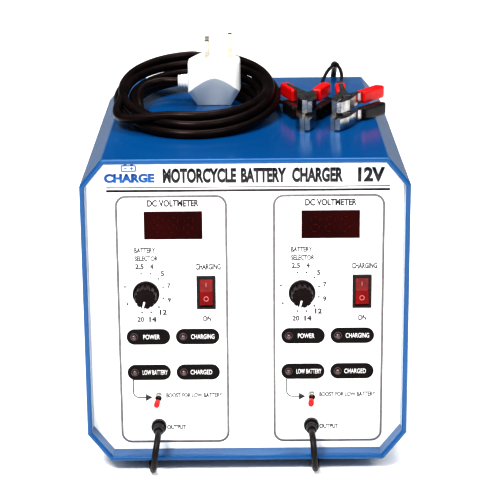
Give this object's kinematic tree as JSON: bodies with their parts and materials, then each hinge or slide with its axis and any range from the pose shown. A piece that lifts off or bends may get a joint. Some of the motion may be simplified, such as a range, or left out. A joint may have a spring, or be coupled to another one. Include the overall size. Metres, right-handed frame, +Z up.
{
  "type": "battery charger",
  "caption": "Bench battery charger: an octagonal sheet-steel case with a recessed control panel, mains lead and plug, and output leads ending in spring clips.",
  "frame": {"origin": "centre of the case in X and Y, at the level of the surface that the feet stand on", "axes": "+Z up; the control panel faces -Y; +Y points to the rear of the case and is its longest side; +X is to the right of someone who faces the panel"},
  "size_m": [0.2824, 0.4359, 0.3508],
  "materials": {
    "blue_paint": "gloss stoved enamel",
    "white_panel": "satin white with printed legends",
    "foot_rubber": "matt",
    "screw_zinc": "zinc plated",
    "meter_red": "dark red filter pane",
    "board_green": "circuit board",
    "switch_body": "laminate and die-cast bush",
    "knob_black": "moulded",
    "switch_black": "moulded",
    "rocker_red": "translucent red",
    "nickel": "nickel plated",
    "sleeve_red": "vinyl sleeve",
    "plate_black": "printed plate",
    "lamp_red": "diffused, unlit",
    "gland_black": "nylon",
    "core_steel": "varnished laminations",
    "winding_tape": "amber tape",
    "cord_black": "flexible sheath",
    "plug_white": "moulded",
    "pin_brass": "plain",
    "clip_steel": "bright zinc plated",
    "grip_red": "dipped vinyl",
    "grip_black": "dipped vinyl"
  },
  "bodies": {
    "case": {"top_cover": "blue_paint", "base_pan": "blue_paint", "front_frame": "blue_paint", "front_panel": "white_panel", "rear_panel": "blue_paint", "rubber_foot_front_left": "foot_rubber", "rubber_foot_front_right": "foot_rubber", "rubber_foot_rear_left": "foot_rubber", "rubber_foot_rear_right": "foot_rubber", "case_screws": "screw_zinc", "display_window_left": "meter_red", "display_window_right": "meter_red", "display_boards": "board_green", "selector_switch_left": "switch_body", "selector_switch_right": "switch_body", "rocker_housing_left": "switch_black", "rocker_housing_right": "switch_black", "boost_switch_left": "nickel", "boost_switch_right": "nickel", "lamp_plates_left": "plate_black", "lamp_plates_right": "plate_black", "lamp_domes_left": "lamp_red", "lamp_domes_right": "lamp_red", "output_gland_left": "gland_black", "output_gland_right": "gland_black", "mains_gland": "gland_black", "fuse_holder": "switch_black", "transformer_core_left": "core_steel", "transformer_core_right": "core_steel", "transformer_winding_left": "winding_tape", "transformer_winding_right": "winding_tape", "charger_board": "board_green", "mains_cord": "cord_black", "mains_coil": "cord_black", "plug_cord": "cord_black", "mains_plug": "plug_white", "plug_pins": "pin_brass", "output_lead_left": "cord_black", "output_lead_right": "cord_black", "lead_split_left": "cord_black", "lead_split_right": "cord_black", "red_core_left": "cord_black", "red_core_right": "cord_black", "black_core_left": "cord_black", "black_core_right": "cord_black", "red_clip_body_left": "clip_steel", "red_clip_body_right": "clip_steel", "black_clip_body_left": "clip_steel", "black_clip_body_right": "clip_steel"},
    "selector_knob_left": {"selector_knob_left": "knob_black"},
    "rocker_left": {"rocker_left": "rocker_red"},
    "boost_lever_left": {"boost_lever_left": "sleeve_red"},
    "red_clip_jaw_left": {"red_clip_jaw_left": "clip_steel"},
    "black_clip_jaw_left": {"black_clip_jaw_left": "clip_steel"},
    "selector_knob_right": {"selector_knob_right": "knob_black"},
    "rocker_right": {"rocker_right": "rocker_red"},
    "boost_lever_right": {"boost_lever_right": "sleeve_red"},
    "red_clip_jaw_right": {"red_clip_jaw_right": "clip_steel"},
    "black_clip_jaw_right": {"black_clip_jaw_right": "clip_steel"},
    "fuse_cap": {"fuse_cap": "switch_black"}
  },
  "joints": [
    {"name": "selector_turn_left", "type": "hinge", "parent": "case", "child": "selector_knob_left", "pos_m": [-0.0865, -0.165, 0.16], "axis": [0, 1, 0], "range_deg": [-210, 0]},
    {"name": "selector_turn_right", "type": "hinge", "parent": "case", "child": "selector_knob_right", "pos_m": [0.0485, -0.165, 0.16], "axis": [0, 1, 0], "range_deg": [-210, 0]},
    {"name": "rocker_tilt_left", "type": "hinge", "parent": "case", "child": "rocker_left", "pos_m": [-0.0345, -0.1605, 0.1605], "axis": [1, 0, 0], "range_deg": [0, 20]},
    {"name": "rocker_tilt_right", "type": "hinge", "parent": "case", "child": "rocker_right", "pos_m": [0.1005, -0.1605, 0.1605], "axis": [1, 0, 0], "range_deg": [0, 20]},
    {"name": "boost_flip_left", "type": "hinge", "parent": "case", "child": "boost_lever_left", "pos_m": [-0.0775, -0.162, 0.0645], "axis": [0.9063, 0, -0.4226], "range_deg": [-26, 0]},
    {"name": "boost_flip_right", "type": "hinge", "parent": "case", "child": "boost_lever_right", "pos_m": [0.0575, -0.162, 0.0645], "axis": [0.9063, 0, -0.4226], "range_deg": [-26, 0]},
    {"name": "black_clip_squeeze_left", "type": "hinge", "parent": "case", "child": "black_clip_jaw_left", "pos_m": [0.056, -0.044, 0.289], "axis": [0, 0, 1], "range_deg": [0, 26], "stiffness_Nm_per_rad": 0.35, "springref_deg": -20.05},
    {"name": "red_clip_squeeze_left", "type": "hinge", "parent": "case", "child": "red_clip_jaw_left", "pos_m": [0.057, -0.024, 0.3013], "axis": [0, 0, 1], "range_deg": [0, 26], "stiffness_Nm_per_rad": 0.35, "springref_deg": -20.05},
    {"name": "black_clip_squeeze_right", "type": "hinge", "parent": "case", "child": "black_clip_jaw_right", "pos_m": [0.092, -0.046, 0.289], "axis": [0, 0, 1], "range_deg": [0, 26], "stiffness_Nm_per_rad": 0.35, "springref_deg": -20.05},
    {"name": "red_clip_squeeze_right", "type": "hinge", "parent": "case", "child": "red_clip_jaw_right", "pos_m": [0.093, -0.03, 0.3013], "axis": [0, 0, 1], "range_deg": [0, 26], "stiffness_Nm_per_rad": 0.35, "springref_deg": -20.05},
    {"name": "fuse_cap_turn", "type": "hinge", "parent": "case", "child": "fuse_cap", "pos_m": [-0.01, 0.165, 0.08], "axis": [0, 1, 0], "range_deg": [0, 90]}
  ]
}
